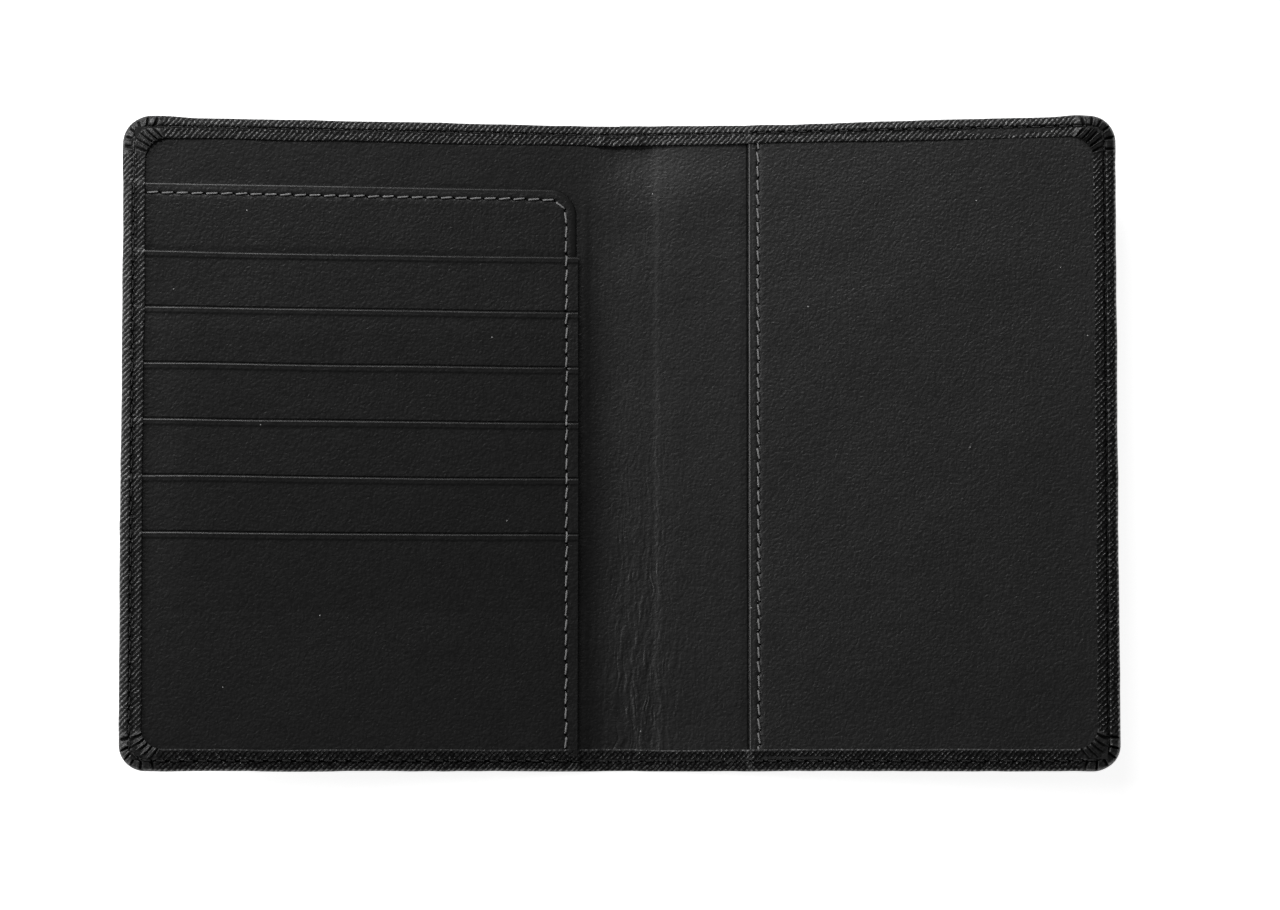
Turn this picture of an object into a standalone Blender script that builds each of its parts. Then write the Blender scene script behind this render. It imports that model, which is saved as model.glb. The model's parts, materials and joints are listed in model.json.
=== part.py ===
"""Passport holder: a leather cover with card pockets on one side and a passport sleeve on the other.

Frame: +X along the open width, towards the passport sleeve; +Y towards the holder's head; +Z up.
The origin is under the middle of the spine, on the surface that it lies on. Every sheet is drawn
as if the holder lay fully open and flat. Each cover's pieces then hang from a pivot empty on its
fold line, which turns the cover up by OPEN_TILT, as a half-broken-in holder lies.
"""

import math

import bmesh
import bpy
from mathutils import Matrix

# Overall size, in metres
HEIGHT = 0.140
FOLD_X = 0.0070  # middle of the spine to each fold line
COVER_WIDTH = 0.1000  # fold line to outer edge
CORNER_R = 0.0057
OPEN_TILT = math.radians(8.0)

SKIN_OVERSHOOT = 0.004  # the skin is drawn past its fold line and cut back to it

# Turned-in hem
HEM_WIDTH = 0.0047
HEM_WALL = 0.0008
HEM_ROUND = 0.0005
HEM_STITCH_IN = 0.0023  # outer edge to the hem's thread

# Thicknesses of the sheets, and the gap left between one sheet and the next
SKIN_T = 0.0008
BOARD_T = 0.0007
LINING_T = 0.0005
PANEL_T = 0.0005
BACKING_T = 0.0002
SLEEVE_T = 0.00045
LEAF_T = 0.00045
TAIL_T = 0.0002
LIP_T = 0.0007
GAP = 0.0001

# Heights of the sheets above the surface, with the holder flat
BOARD_Z = SKIN_T + GAP
LINING_Z = BOARD_Z + BOARD_T + GAP
FOLD_Z = LINING_Z + LINING_T  # the folds bend about the lining's upper face
LAYER_Z = FOLD_Z + GAP
SLEEVE_Z = LAYER_Z + BACKING_T + GAP
LEAF_Z = LAYER_Z + PANEL_T + GAP
LIP_Z = SLEEVE_Z + SLEEVE_T + GAP
LIP_TOP = LIP_Z + LIP_T

# Places across the width, from the middle of the spine
OUTER_X = FOLD_X + COVER_WIDTH
SEAM_CLEAR = 0.00015  # each side of a fold line, and round the end of a sheet
BOARD_X = FOLD_X + 0.0012
INTERLINING_X = FOLD_X - 0.0015
BOARD_INSET = 0.0032
SHEET_INSET = HEM_WALL + 0.0002
HEM_INNER_X = OUTER_X - HEM_WIDTH - SEAM_CLEAR
HEM_INNER_Y = HEIGHT / 2 - HEM_WIDTH - SEAM_CLEAR
PANEL_X = 0.0094
LEAF_X = 0.0092
SLEEVE_X = 0.0280

# Card panel and its pockets, from the holder's middle towards its head
PANEL_TOP = 0.0557
PANEL_CORNER_R = 0.0058
FIRST_MOUTH = 0.04095
MOUTH_STEP = 0.01202
POCKETS = 6
POCKET_DEPTH = 0.048
STRIP_LENGTH = 0.017
TAIL_OVERLAP = 0.002
SETTLE = 0.004  # how far a sheet takes to settle past the end of the sheet under it
ROW_STEP = 0.0015

# Threads
THREAD_R = 0.00022
PANEL_STITCH_IN = 0.0023
SLEEVE_STITCH_IN = 0.0022
THREAD_STEP = 0.002

PART_NAME = "passport_holder"
CUTTER_NAME = "cutters"

BLACK_LEATHER = ("black_leather", (0.018, 0.018, 0.019), 0.5)
NAPPA = ("nappa_lining", (0.014, 0.014, 0.015), 0.45)
BOARD = ("fibre_board", (0.22, 0.17, 0.12), 0.9)
FABRIC = ("lining_fabric", (0.02, 0.02, 0.022), 0.9)
GREY_THREAD = ("grey_thread", (0.16, 0.16, 0.16), 0.7)
BLACK_THREAD = ("black_thread", (0.008, 0.008, 0.008), 0.6)


# ---- Scene, materials and pivots ----


def clear_scene():
    for obj in list(bpy.data.objects):
        bpy.data.objects.remove(obj)


def new_collection(name):
    collection = bpy.data.collections.new(name)
    bpy.context.scene.collection.children.link(collection)
    return collection


def material(finish):
    """The Principled material of this finish, made the first time that it is asked for."""
    name, colour, roughness = finish
    found = bpy.data.materials.get(name)
    if found:
        return found
    made = bpy.data.materials.new(name)
    made.use_nodes = True
    shader = made.node_tree.nodes["Principled BSDF"]
    shader.inputs["Base Color"].default_value = (*colour, 1)
    shader.inputs["Roughness"].default_value = roughness
    shader.inputs["Metallic"].default_value = 0
    return made


def add_pivot(name, side):
    """An empty on a fold line, turned up by the cover's slope. side is 1 for +X and -1 for -X."""
    pivot = bpy.data.objects.new(name, None)
    pivot.location = (side * FOLD_X, 0, FOLD_Z)
    pivot.rotation_euler.y = -side * OPEN_TILT
    parts.objects.link(pivot)
    return pivot


def hang(obj, pivot):
    """Hangs an object, drawn with the holder flat, from a cover's pivot. The spine has none."""
    if pivot:
        obj.parent = pivot
        obj.location = (-pivot.location.x, 0, -FOLD_Z)


def add_object(name, mesh, pivot, finish):
    obj = bpy.data.objects.new(name, mesh)
    mesh.materials.append(material(finish))
    parts.objects.link(obj)
    hang(obj, pivot)
    return obj


# ---- Outlines and sheets ----


def rounded_outline(x_inner, x_outer, y_low, y_high, radii, side=1, arc_steps=8):
    """A rectangle's outline with rounded corners, as (x, y) points.

    x_inner and x_outer are distances from the middle of the spine, on the given side. radii are
    those of the corners inner-low, outer-low, outer-high and inner-high.
    """
    corners = [(x_inner, y_low), (x_outer, y_low), (x_outer, y_high), (x_inner, y_high)]
    inward = [(1, 1), (-1, 1), (-1, -1), (1, -1)]
    points = []
    for turn, ((x, y), (dx, dy), radius) in enumerate(zip(corners, inward, radii)):
        if not radius:
            points.append((side * x, y))
            continue
        for step in range(arc_steps + 1):
            angle = math.pi + (turn + step / arc_steps) * math.pi / 2
            px = x + dx * radius + radius * math.cos(angle)
            py = y + dy * radius + radius * math.sin(angle)
            points.append((side * px, py))
    return points


def mesh_from_curve(curve, name):
    """A curve's closed solid as a mesh, with its caps welded on. The curve is removed."""
    drawn = bpy.data.objects.new(name, curve)
    parts.objects.link(drawn)
    bpy.context.view_layer.update()
    depsgraph = bpy.context.evaluated_depsgraph_get()
    mesh = bpy.data.meshes.new_from_object(drawn.evaluated_get(depsgraph))
    bpy.data.objects.remove(drawn)
    bpy.data.curves.remove(curve)
    mesh.name = name
    mesh.materials.clear()
    solid = bmesh.new()
    solid.from_mesh(mesh)
    bmesh.ops.remove_doubles(solid, verts=solid.verts, dist=1e-6)
    bmesh.ops.recalc_face_normals(solid, faces=solid.faces)
    solid.to_mesh(mesh)
    solid.free()
    return mesh


def plate_mesh(name, outline, z_low, z_high):
    """A flat sheet of this outline, between two heights."""
    curve = bpy.data.curves.new(name, "CURVE")
    curve.dimensions = "2D"
    curve.fill_mode = "BOTH"
    curve.extrude = (z_high - z_low) / 2
    spline = curve.splines.new("POLY")
    spline.points.add(len(outline) - 1)
    for point, (x, y) in zip(spline.points, outline):
        point.co = (x, y, 0, 1)
    spline.use_cyclic_u = True
    mesh = mesh_from_curve(curve, name)
    mesh.transform(Matrix.Translation((0, 0, (z_low + z_high) / 2)))
    return mesh


def plate(name, outline, z_low, thickness, pivot, finish):
    mesh = plate_mesh(name, outline, z_low, z_low + thickness)
    return add_object(name, mesh, pivot, finish)


def thread(name, points, pivot, finish):
    """A sewn thread as one round wire through these points."""
    curve = bpy.data.curves.new(name, "CURVE")
    curve.dimensions = "3D"
    curve.bevel_depth = THREAD_R
    curve.bevel_resolution = 1
    curve.use_fill_caps = True
    spline = curve.splines.new("POLY")
    spline.points.add(len(points) - 1)
    for point, place in zip(spline.points, points):
        point.co = (*place, 1)
    mesh = mesh_from_curve(curve, name)
    mesh.shade_smooth()
    return add_object(name, mesh, pivot, finish)


# ---- Cutters ----


def add_cutter(name, mesh, pivot):
    cutter = bpy.data.objects.new(name, mesh)
    cutters.objects.link(cutter)
    cutter.hide_render = True
    cutter.display_type = "WIRE"
    hang(cutter, pivot)
    return cutter


def cut(obj, cutter):
    boolean = obj.modifiers.new(cutter.name, "BOOLEAN")
    boolean.operation = "DIFFERENCE"
    boolean.object = cutter


def fold_cutter(name, side, keep, pivot):
    """Takes away what lies past a fold line: above the fold's axis it leaves a 45 degree mitre.

    keep is 1 to keep the cover and -1 to keep the spine. Two mitres close face to face when the
    cover has turned 90 degrees up from flat.
    """
    reach = 0.012
    edge = FOLD_X + keep * SEAM_CLEAR
    profile = [
        (edge, -reach),
        (edge, FOLD_Z),
        (edge + keep * reach, FOLD_Z + reach),
        (edge - keep * reach, FOLD_Z + reach),
        (edge - keep * reach, -reach),
    ]
    outline = [(side * x, z) for x, z in profile]
    mesh = plate_mesh(name, outline, -HEIGHT, HEIGHT)
    mesh.transform(Matrix.Rotation(math.radians(90), 4, "X"))
    return add_cutter(name, mesh, pivot)


# ---- Pieces that the covers and the spine share ----


def hemmed_skin(name, outline_of, fold_cutters, pivot):
    """The outer leather: a base, a low wall round its edge and the hem turned in over the wall.

    outline_of(inset) gives the skin's outline, moved in from its sewn edges by that inset.
    """
    skin = plate(name, outline_of(0), 0, LIP_TOP, pivot, BLACK_LEATHER)
    rounding = skin.modifiers.new("hem_rounding", "BEVEL")
    rounding.width = HEM_ROUND
    rounding.segments = 2
    rounding.limit_method = "ANGLE"
    rounding.angle_limit = math.radians(60)
    hollow = plate_mesh(name + "_hollow", outline_of(HEM_WALL), SKIN_T, LIP_Z)
    window = plate_mesh(name + "_window", outline_of(HEM_WIDTH), LAYER_Z, LIP_TOP + HEM_WIDTH)
    for mesh in (hollow, window):
        cut(skin, add_cutter(mesh.name, mesh, pivot))
    for cutter in fold_cutters:
        cut(skin, cutter)
    return skin


def cover_outline(side, x_inner, inset):
    """A sheet of one cover, from x_inner to the cover's three sewn edges, moved in by inset."""
    outer_r = max(CORNER_R - inset, HEM_WALL)
    radii = (0, outer_r, outer_r, 0)
    edge_y = HEIGHT / 2 - inset
    return rounded_outline(x_inner, OUTER_X - inset, -edge_y, edge_y, radii, side)


def hem_thread_z():
    return LIP_TOP + GAP + THREAD_R


def hem_thread_start():
    """Where a cover's hem thread starts, clear of the mitre at the fold."""
    return FOLD_X + hem_thread_z() + THREAD_R - FOLD_Z + 2 * SEAM_CLEAR


def add_cover(name, side, pivot):
    """One cover's skin, stiffener, lining and hem thread."""

    def skin_outline(inset):
        return cover_outline(side, FOLD_X - SKIN_OVERSHOOT - inset, inset)

    mitre = fold_cutter(name + "_mitre", side, 1, pivot)
    hemmed_skin(name + "_leather", skin_outline, [mitre], pivot)
    board = cover_outline(side, BOARD_X, BOARD_INSET)
    plate(name + "_stiffener", board, BOARD_Z, BOARD_T, pivot, BOARD)
    lining = cover_outline(side, FOLD_X + SEAM_CLEAR, SHEET_INSET)
    plate(name + "_lining", lining, LINING_Z, LINING_T, pivot, NAPPA)

    route = cover_outline(side, hem_thread_start(), HEM_STITCH_IN)
    points = [(x, y, hem_thread_z()) for x, y in route]
    thread(name + "_hem_stitching", points, pivot, BLACK_THREAD)


def add_spine():
    """The spine's skin, interlining, lining and two runs of hem thread."""

    def skin_outline(inset):
        half_x = FOLD_X + SKIN_OVERSHOOT + inset
        half_y = HEIGHT / 2 - inset
        return rounded_outline(-half_x, half_x, -half_y, half_y, (0, 0, 0, 0))

    mitres = [fold_cutter(f"spine_mitre_{i}", side, -1, None) for i, side in enumerate((-1, 1))]
    hemmed_skin("spine_leather", skin_outline, mitres, None)
    for name, half_x, inset, z_low, thickness, finish in (
        ("spine_interlining", INTERLINING_X, BOARD_INSET, BOARD_Z, BOARD_T, FABRIC),
        ("spine_lining", FOLD_X - SEAM_CLEAR, SHEET_INSET, LINING_Z, LINING_T, NAPPA),
    ):
        half_y = HEIGHT / 2 - inset
        outline = rounded_outline(-half_x, half_x, -half_y, half_y, (0, 0, 0, 0))
        plate(name, outline, z_low, thickness, None, finish)
    half_run = 2 * FOLD_X - hem_thread_start()
    for name, end in (("spine_stitching_top", 1), ("spine_stitching_bottom", -1)):
        y = end * (HEIGHT / 2 - HEM_STITCH_IN)
        points = [(-half_run, y, hem_thread_z()), (half_run, y, hem_thread_z())]
        thread(name, points, None, BLACK_THREAD)


# ---- Card side ----


def mouth_y(pocket):
    """How far towards the head a pocket's mouth lies. Pocket 1 is nearest the head."""
    return FIRST_MOUTH - (pocket - 1) * MOUTH_STEP


def pocket_sheets():
    """Each draped sheet of the pocket stack, from the bottom up: (name, y_top, y_end, thickness)."""
    sheets = []
    for pocket in range(1, POCKETS):
        mouth = mouth_y(pocket)
        strip_end = mouth - STRIP_LENGTH
        tail = (f"pocket_tail_{pocket}", strip_end + TAIL_OVERLAP, mouth - POCKET_DEPTH, TAIL_T)
        sheets.append(tail)
        sheets.append((f"card_pocket_{pocket}", mouth, strip_end, LEAF_T))
    sheets.append((f"card_pocket_{POCKETS}", mouth_y(POCKETS), -HEM_INNER_Y, LEAF_T))
    return sheets


def presence(sheet, y):
    """1 where the sheet lies, falling smoothly to 0 over SETTLE beyond each of its ends."""
    _, y_top, y_end, _ = sheet
    beyond = max(y - y_top, y_end - y, 0) / SETTLE
    left = 1 - min(beyond, 1)
    return left * left * (3 - 2 * left)


def sheet_z(sheets, index, y):
    """Height of a draped sheet's lower face: it lies on every sheet that comes before it."""
    below = sheets[:index]
    return LEAF_Z + sum((sheet[3] + GAP) * presence(sheet, y) for sheet in below)


def draped_sheet(sheets, index, x_low, x_high, pivot):
    """A sheet of the stack: a grid that follows the sheets under it, given its thickness upwards."""
    name, y_top, y_end, thickness = sheets[index]
    rows = math.ceil((y_top - y_end) / ROW_STEP)
    surface = bmesh.new()
    bmesh.ops.create_grid(surface, x_segments=1, y_segments=rows, size=0.5)
    for vert in surface.verts:
        y = y_end + (vert.co.y + 0.5) * (y_top - y_end)
        vert.co = (x_low + (vert.co.x + 0.5) * (x_high - x_low), y, sheet_z(sheets, index, y))
    mesh = bpy.data.meshes.new(name)
    surface.to_mesh(mesh)
    surface.free()
    finish = FABRIC if thickness == TAIL_T else NAPPA
    sheet = add_object(name, mesh, pivot, finish)
    solid = sheet.modifiers.new("thickness", "SOLIDIFY")
    solid.thickness = thickness
    solid.offset = 1


def stack_top(sheets, y):
    """Height of the uppermost leather face at y."""
    top = LAYER_Z + PANEL_T
    for index, (_, y_top, y_end, thickness) in enumerate(sheets):
        if y_end <= y <= y_top:
            top = max(top, sheet_z(sheets, index, y) + thickness)
    return top


def panel_thread_points(sheets):
    """The panel's thread: along its top, round its inner corner, and down over the pockets' ends."""
    x_outer = HEM_INNER_X - GAP
    x_side = PANEL_X + PANEL_STITCH_IN
    y_top = PANEL_TOP - PANEL_STITCH_IN
    radius = PANEL_CORNER_R - PANEL_STITCH_IN
    lift = GAP + THREAD_R
    flat_z = LAYER_Z + PANEL_T + lift
    points = [(-x_outer, y_top, flat_z)]
    corner_steps = 6
    for step in range(corner_steps + 1):
        angle = step / corner_steps * math.pi / 2
        x = x_side + radius - radius * math.sin(angle)
        y = y_top - radius + radius * math.cos(angle)
        points.append((-x, y, flat_z))
    run = (y_top - radius) + HEM_INNER_Y - GAP
    count = math.ceil(run / THREAD_STEP)
    for step in range(1, count + 1):
        y = y_top - radius - run * step / count
        reach = run / count
        near = [y + reach * k / 4 for k in range(-4, 5)]
        points.append((-x_side, y, max(stack_top(sheets, n) for n in near) + lift))
    return points


def add_card_side(pivot):
    """The card panel, its pockets and their tails, and the panel's thread."""
    edge_y = HEIGHT / 2 - SHEET_INSET
    outer_r = CORNER_R - SHEET_INSET
    radii = (0, outer_r, 0, PANEL_CORNER_R)
    panel = rounded_outline(PANEL_X, OUTER_X - SHEET_INSET, -edge_y, PANEL_TOP, radii, -1)
    plate("card_panel", panel, LAYER_Z, PANEL_T, pivot, NAPPA)
    sheets = pocket_sheets()
    for index in range(len(sheets)):
        draped_sheet(sheets, index, -HEM_INNER_X, -LEAF_X, pivot)
    thread("card_panel_stitching", panel_thread_points(sheets), pivot, GREY_THREAD)


# ---- Passport side ----


def add_passport_side(pivot):
    """The sleeve with its backing, and the thread along its free edge."""
    backing = cover_outline(1, SLEEVE_X + 0.0012, HEM_WIDTH - 0.002)
    plate("passport_sleeve_backing", backing, LAYER_Z, BACKING_T, pivot, FABRIC)
    sleeve = cover_outline(1, SLEEVE_X, SHEET_INSET)
    plate("passport_sleeve", sleeve, SLEEVE_Z, SLEEVE_T, pivot, NAPPA)
    x = SLEEVE_X + SLEEVE_STITCH_IN
    z = SLEEVE_Z + SLEEVE_T + GAP + THREAD_R
    points = [(x, HEM_INNER_Y - GAP, z), (x, -HEM_INNER_Y + GAP, z)]
    thread("passport_sleeve_stitching", points, pivot, GREY_THREAD)


clear_scene()
parts = new_collection(PART_NAME)
cutters = new_collection(CUTTER_NAME)
card_pivot = add_pivot("card_fold", -1)
passport_pivot = add_pivot("passport_fold", 1)
add_cover("card_cover", -1, card_pivot)
add_cover("passport_cover", 1, passport_pivot)
add_spine()
add_card_side(card_pivot)
add_passport_side(passport_pivot)
bpy.context.view_layer.update()
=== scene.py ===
"""Passport holder, open and lying flat: the leather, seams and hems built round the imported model.

Sheets are worked out in millimetres on the flat holder: u across from the middle of the spine,
y towards the holder's head and h up from the outer face. to_world then bends them at the folds.
"""

import json
import math

import bpy
import numpy as np
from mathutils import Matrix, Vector


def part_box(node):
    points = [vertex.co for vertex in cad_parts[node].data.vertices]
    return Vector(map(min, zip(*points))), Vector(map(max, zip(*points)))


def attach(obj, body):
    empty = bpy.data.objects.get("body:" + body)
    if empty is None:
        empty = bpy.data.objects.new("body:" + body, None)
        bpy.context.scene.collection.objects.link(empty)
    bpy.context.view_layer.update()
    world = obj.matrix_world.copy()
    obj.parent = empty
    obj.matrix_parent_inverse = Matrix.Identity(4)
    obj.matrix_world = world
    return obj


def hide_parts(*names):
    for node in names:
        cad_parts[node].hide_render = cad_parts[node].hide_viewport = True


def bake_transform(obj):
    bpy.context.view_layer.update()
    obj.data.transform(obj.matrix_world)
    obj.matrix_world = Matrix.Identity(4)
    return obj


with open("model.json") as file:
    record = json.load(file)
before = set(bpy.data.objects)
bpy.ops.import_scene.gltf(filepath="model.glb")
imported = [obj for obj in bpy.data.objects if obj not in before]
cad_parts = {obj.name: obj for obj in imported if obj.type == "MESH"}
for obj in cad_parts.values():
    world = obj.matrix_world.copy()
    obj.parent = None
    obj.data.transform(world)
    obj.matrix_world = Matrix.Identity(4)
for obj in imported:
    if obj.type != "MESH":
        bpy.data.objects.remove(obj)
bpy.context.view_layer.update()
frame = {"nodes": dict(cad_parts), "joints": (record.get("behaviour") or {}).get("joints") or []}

MM = 0.001
CARD, PASSPORT = -1, 1  # the side of the spine that a cover is on

# ---- Sizes read from the frame ----

folds = {joint["name"]: joint for joint in frame["joints"]}
FOLD_X = folds["passport_fold"]["pos_m"][0] / MM
FOLD_Z = folds["passport_fold"]["pos_m"][2] / MM
TILT = math.radians(-folds["passport_fold"]["range_deg"][0])


def flat_u(x, h):
    """Distance from the spine, on the flat holder, of a point on a cover at height h."""
    return FOLD_X + (abs(x) / MM - FOLD_X + (h - FOLD_Z) * math.sin(TILT)) / math.cos(TILT)


def node_top(node):
    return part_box(node)[1].y / MM


HALF_HEIGHT = node_top("passport_cover_leather")
OUTER_U = flat_u(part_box("passport_cover_leather")[1].x, 0.0)
PANEL_TOP = node_top("card_panel")
PANEL_U = flat_u(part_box("card_panel")[1].x, 2.8)
SLEEVE_U = flat_u(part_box("passport_sleeve")[0].x, 3.0)
POCKETS = 6
MOUTHS = [node_top(f"card_pocket_{k + 1}") for k in range(POCKETS)]

# ---- Sizes that the looks add ----

BEND = 3.0  # half the width of leather that turns at a fold
HEM = 4.7  # width
HEM_STITCH = 2.3  # from the outer edge to the seam
HEM_INNER_R = 4.7  # radius of its inner corners
HEM_FALL = 0.85  # how much lower the hem is at its outer edge than at its inner one
HEM_EDGE_R = 0.65  # how far in the outer edge is rounded
CORNER_R = 5.7
EAR = 0.4  # how far the hem stands out beside a corner at the head
FALL_AT_FOOT, FALL_AT_LEFT, FALL_AT_RIGHT = 0.75, 0.75, -0.3  # added to HEM_FALL on those runs
HEAD_SKIVE = 0.28  # how much thinner the hem is along the head
HEM_GAP = 0.02  # between the hem's underside and what it lies on

LINING_TOP = FOLD_Z
PANEL_H = 2.86  # upper face of the card panel
SLEEVE_H = 2.98  # and of the sleeve
SKIN = 0.8  # thickness of the outer leather
FOLD_IN_H = 1.0  # height of the hem's hidden underside beside the edge
LINING_INSET = 2.4  # how far inside the edge the lining stops
SHEET_INSET = 2.6  # and how far inside it the card panel and the sleeve do
PANEL_FOOT_INSET = 2.5
HEM_T = 0.62  # how far the hem stands above the lining at its inner edge

PANEL_CORNER_R = 5.8
PANEL_STITCH = 2.3  # from the free edge to the seam
SLEEVE_STITCH = 2.2
SEAM_TUCK = 0.8  # how far the grey seams run on under the hem
STITCH_PITCH = 3.15
SLEEVE_PITCH = STITCH_PITCH * 0.97
HEM_PITCH = 3.0
GREY_R, BLACK_R, FRAY_R = 0.2, 0.17, 0.045  # radii of the threads


# ---- Small tools ----


def smooth(t):
    """0 below 0, 1 above 1, and a smooth step between."""
    t = np.clip(t, 0, 1)
    return t * t * (3 - 2 * t)


def hump(x, width):
    """A smooth bump of height 1 at x = 0."""
    return np.exp(-((np.asarray(x) / width) ** 2))


def noise(x, y, seed):
    """Smooth value noise from -1 to 1 on a unit lattice."""
    table = np.random.default_rng(seed).uniform(-1, 1, (128, 128))
    x, y = np.broadcast_arrays(np.asarray(x, float), np.asarray(y, float))
    ix, iy = np.floor(x).astype(int), np.floor(y).astype(int)
    fx, fy = smooth(x - ix), smooth(y - iy)

    def row(iy):
        return table[ix % 128, iy % 128] * (1 - fx) + table[(ix + 1) % 128, iy % 128] * fx

    return row(iy) * (1 - fy) + row(iy + 1) * fy


def spaced(stops):
    """Places from (end, step) stops: from the first end on, each step applies up to its end."""
    (start, _), *rest = stops
    out = [start]
    for end, step in rest:
        count = max(1, round(abs(end - out[-1]) / step))
        out += list(np.linspace(out[-1], end, count + 1)[1:])
    return np.array(out)


# ---- The bend from the flat holder to the open one ----

_run = np.linspace(0, 130, 13001)
_angle = TILT * smooth((_run - FOLD_X + BEND) / (2 * BEND))
_step = _run[1] - _run[0]
_heading = _angle[:-1] / 2 + _angle[1:] / 2
_across = np.concatenate([[0], np.cumsum(np.cos(_heading)) * _step])
_rise = np.concatenate([[0], np.cumsum(np.sin(_heading)) * _step])


def to_world(u, y, h):
    """Flat places in millimetres to places on the open holder, in metres, as an array of rows."""
    u, y, h = (a.ravel() for a in np.broadcast_arrays(u, y, h))
    side, run = np.where(u < 0, -1.0, 1.0), np.abs(u)
    angle = np.interp(run, _run, _angle)
    above = h - FOLD_Z
    x = side * (np.interp(run, _run, _across) - above * np.sin(angle))
    z = FOLD_Z + np.interp(run, _run, _rise) + above * np.cos(angle)
    return np.stack([x, y, z], axis=1) * MM


# ---- Making objects ----


def new_object(name, data):
    obj = bpy.data.objects.new(name, data)
    bpy.context.scene.collection.objects.link(obj)
    return obj


def make_object(name, flat, faces, finish, sharp=50, pattern=None):
    """A mesh object from flat places (rows of u, y, h) and faces, bent onto the open holder."""
    flat = np.asarray(flat, float)
    mesh = bpy.data.meshes.new(name)
    mesh.from_pydata(to_world(*flat.T).tolist(), [], faces)
    place = mesh.attributes.new("flat", "FLOAT_VECTOR", "POINT")
    place.data.foreach_set("vector", flat.astype(np.float32).ravel())
    if pattern:
        amount = mesh.attributes.new(pattern[0], "FLOAT", "POINT")
        amount.data.foreach_set("value", pattern[1].astype(np.float32).ravel())
    mesh.materials.append(finish)
    mesh.shade_smooth()
    mesh.set_sharp_from_angle(angle=math.radians(sharp))
    return new_object(name, mesh)


def grid_faces(rows, cols, start=0, flip=False, wrap=False):
    """Quads between neighbouring rows and columns of a grid of vertices, wrapping round columns."""
    index = start + np.arange(rows * cols).reshape(rows, cols)
    if wrap:
        index = np.concatenate([index, index[:, :1]], axis=1)
    a, b, c, d = index[:-1, :-1], index[:-1, 1:], index[1:, 1:], index[1:, :-1]
    quads = np.stack([a, d, c, b] if flip else [a, b, c, d], axis=-1)
    return quads.reshape(-1, 4).tolist()


def sheet(name, u, y, top, bottom, finish, body, pattern=None):
    """A closed sheet from grids of flat places with the heights of its two faces.

    Rows run from the head to the foot and columns towards +u. pattern is a named number for each
    place, that the finish reads.
    """
    u, y, top, bottom = np.broadcast_arrays(u, y, top, bottom)
    rows, cols = top.shape
    upper = np.stack([u, y, top], axis=-1).reshape(-1, 3)
    lower = np.stack([u, y, bottom], axis=-1).reshape(-1, 3)
    faces = grid_faces(rows, cols, flip=True) + grid_faces(rows, cols, start=rows * cols)
    index = np.arange(rows * cols).reshape(rows, cols)
    rim = np.concatenate([index[0], index[1:, -1], index[-1, -2::-1], index[-2:0:-1, 0]])
    ahead = np.roll(rim, -1)
    faces += np.stack([rim, ahead, ahead + rows * cols, rim + rows * cols], axis=1).tolist()
    if pattern:
        pattern = (pattern[0], np.concatenate([pattern[1].ravel()] * 2))
    obj = make_object(name, np.concatenate([upper, lower]), faces, finish, pattern=pattern)
    if body:
        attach(obj, body)
    return obj


# ---- Materials ----


def rgba(colour):
    """A colour of four numbers from a grey or from three."""
    return (colour, colour, colour, 1) if isinstance(colour, float) else (*colour, 1)


def smooth_ramp(tree, low, high, out_low, out_high):
    """A node that rises smoothly between out_low and out_high as its value goes from low to high."""
    node = tree.nodes.new("ShaderNodeMapRange")
    node.interpolation_type = "SMOOTHSTEP"
    numbers = {"From Min": low, "From Max": high, "To Min": out_low, "To Max": out_high}
    for key, number in numbers.items():
        node.inputs[key].default_value = number
    return node


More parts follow.
